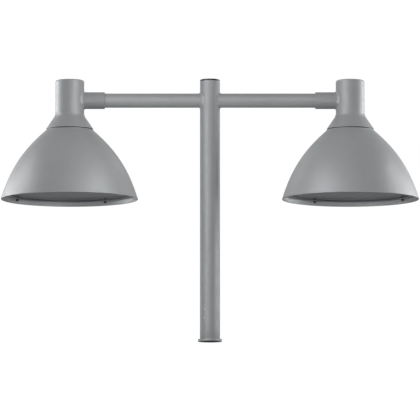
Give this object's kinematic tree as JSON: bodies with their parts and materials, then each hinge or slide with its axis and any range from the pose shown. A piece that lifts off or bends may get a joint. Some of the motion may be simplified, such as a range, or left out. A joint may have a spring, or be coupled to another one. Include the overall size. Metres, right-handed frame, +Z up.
{
  "type": "twin head post top area light",
  "caption": "Upright round post with two horizontal arms carrying bell-shaped area luminaires with hinged, latched glass doors; drops over a pole spigot.",
  "frame": {"origin": "centre of the underside of the collar at the foot of the post, on the post axis", "axes": "+Z up along the post, +X along the arms towards the right head, -Y is the front"},
  "size_m": [1.8594, 0.6096, 1.171],
  "materials": {
    "powder_coat": "satin metallic grey powder coat on aluminium",
    "stainless": "plain stainless steel",
    "black_screw": "black oxide steel",
    "gloss_black": "glossy black moulded plastic",
    "latch_black": "satin black moulded plastic",
    "cable_black": "black cable jacket",
    "rubber_black": "matt black silicone rubber",
    "moulded_beige": "moulded terminal plastic",
    "brass": "plain brass",
    "zinc_sheet": "mill-finish sheet",
    "raw_aluminium": "extruded aluminium",
    "dark_coat": "dark satin coat on aluminium",
    "driver_case": "pale moulded case",
    "surge_red": "red moulded case",
    "board_white": "white solder mask",
    "lens_clear": "clear moulded lens",
    "door_glass": "toughened glass, grey-blue cast"
  },
  "bodies": {
    "post": {"post_tube": "powder_coat", "pole_fitter": "powder_coat", "pole_set_screws": "stainless", "post_cap": "gloss_black", "arm_welds": "powder_coat", "supply_cable": "cable_black", "splice_block": "moulded_beige", "earth_lug": "brass", "cable_bushings": "rubber_black", "left_arm_tube": "powder_coat", "right_arm_tube": "powder_coat", "left_arm_cable": "cable_black", "right_arm_cable": "cable_black"},
    "left_head": {"left_neck": "powder_coat", "left_neck_screws": "stainless", "left_seam_gasket": "rubber_black", "left_shade": "powder_coat", "left_shade_bolts": "stainless", "left_gear_tray": "zinc_sheet", "left_driver": "driver_case", "left_surge_protector": "surge_red", "left_terminal_block": "moulded_beige", "left_leads": "cable_black", "left_heat_sink": "raw_aluminium", "left_led_boards": "board_white", "left_led_lenses": "lens_clear", "left_cover_plate": "dark_coat", "left_plate_screws": "black_screw", "left_door_seat": "dark_coat", "left_hinge_bracket": "stainless", "left_hinge_pin": "stainless"},
    "left_door": {"left_door_frame": "dark_coat", "left_door_glass": "door_glass", "left_door_gasket": "rubber_black"},
    "left_latch_a": {"left_latch_a": "latch_black"},
    "left_latch_b": {"left_latch_b": "latch_black"},
    "right_head": {"right_neck": "powder_coat", "right_neck_screws": "stainless", "right_seam_gasket": "rubber_black", "right_shade": "powder_coat", "right_shade_bolts": "stainless", "right_gear_tray": "zinc_sheet", "right_driver": "driver_case", "right_surge_protector": "surge_red", "right_terminal_block": "moulded_beige", "right_leads": "cable_black", "right_heat_sink": "raw_aluminium", "right_led_boards": "board_white", "right_led_lenses": "lens_clear", "right_cover_plate": "dark_coat", "right_plate_screws": "black_screw", "right_door_seat": "dark_coat", "right_hinge_bracket": "stainless", "right_hinge_pin": "stainless"},
    "right_door": {"right_door_frame": "dark_coat", "right_door_glass": "door_glass", "right_door_gasket": "rubber_black"},
    "right_latch_a": {"right_latch_a": "latch_black"},
    "right_latch_b": {"right_latch_b": "latch_black"}
  },
  "joints": [
    {"name": "left_level", "type": "hinge", "parent": "post", "child": "left_head", "pos_m": [-0.625, 0, 1.077], "axis": [1, 0, 0], "range_deg": [-10, 10]},
    {"name": "left_door_hinge", "type": "hinge", "parent": "left_head", "child": "left_door", "pos_m": [-0.56359, -0.27933, 0.646], "axis": [-0.9767, -0.2147, 0], "range_deg": [0, 95]},
    {"name": "left_latch_a_turn", "type": "hinge", "parent": "left_door", "child": "left_latch_a", "pos_m": [-0.47253, 0.23841, 0.656], "axis": [0, 0, 1], "range_deg": [0, 90]},
    {"name": "left_latch_b_turn", "type": "hinge", "parent": "left_door", "child": "left_latch_b", "pos_m": [-0.86341, 0.15247, 0.656], "axis": [0, 0, 1], "range_deg": [0, 90]},
    {"name": "right_level", "type": "hinge", "parent": "post", "child": "right_head", "pos_m": [0.625, 0, 1.077], "axis": [1, 0, 0], "range_deg": [-10, 10]},
    {"name": "right_door_hinge", "type": "hinge", "parent": "right_head", "child": "right_door", "pos_m": [0.56359, -0.27933, 0.646], "axis": [-0.9767, 0.2147, 0], "range_deg": [0, 95]},
    {"name": "right_latch_a_turn", "type": "hinge", "parent": "right_door", "child": "right_latch_a", "pos_m": [0.47253, 0.23841, 0.656], "axis": [0, 0, 1], "range_deg": [0, 90]},
    {"name": "right_latch_b_turn", "type": "hinge", "parent": "right_door", "child": "right_latch_b", "pos_m": [0.86341, 0.15247, 0.656], "axis": [0, 0, 1], "range_deg": [0, 90]}
  ]
}
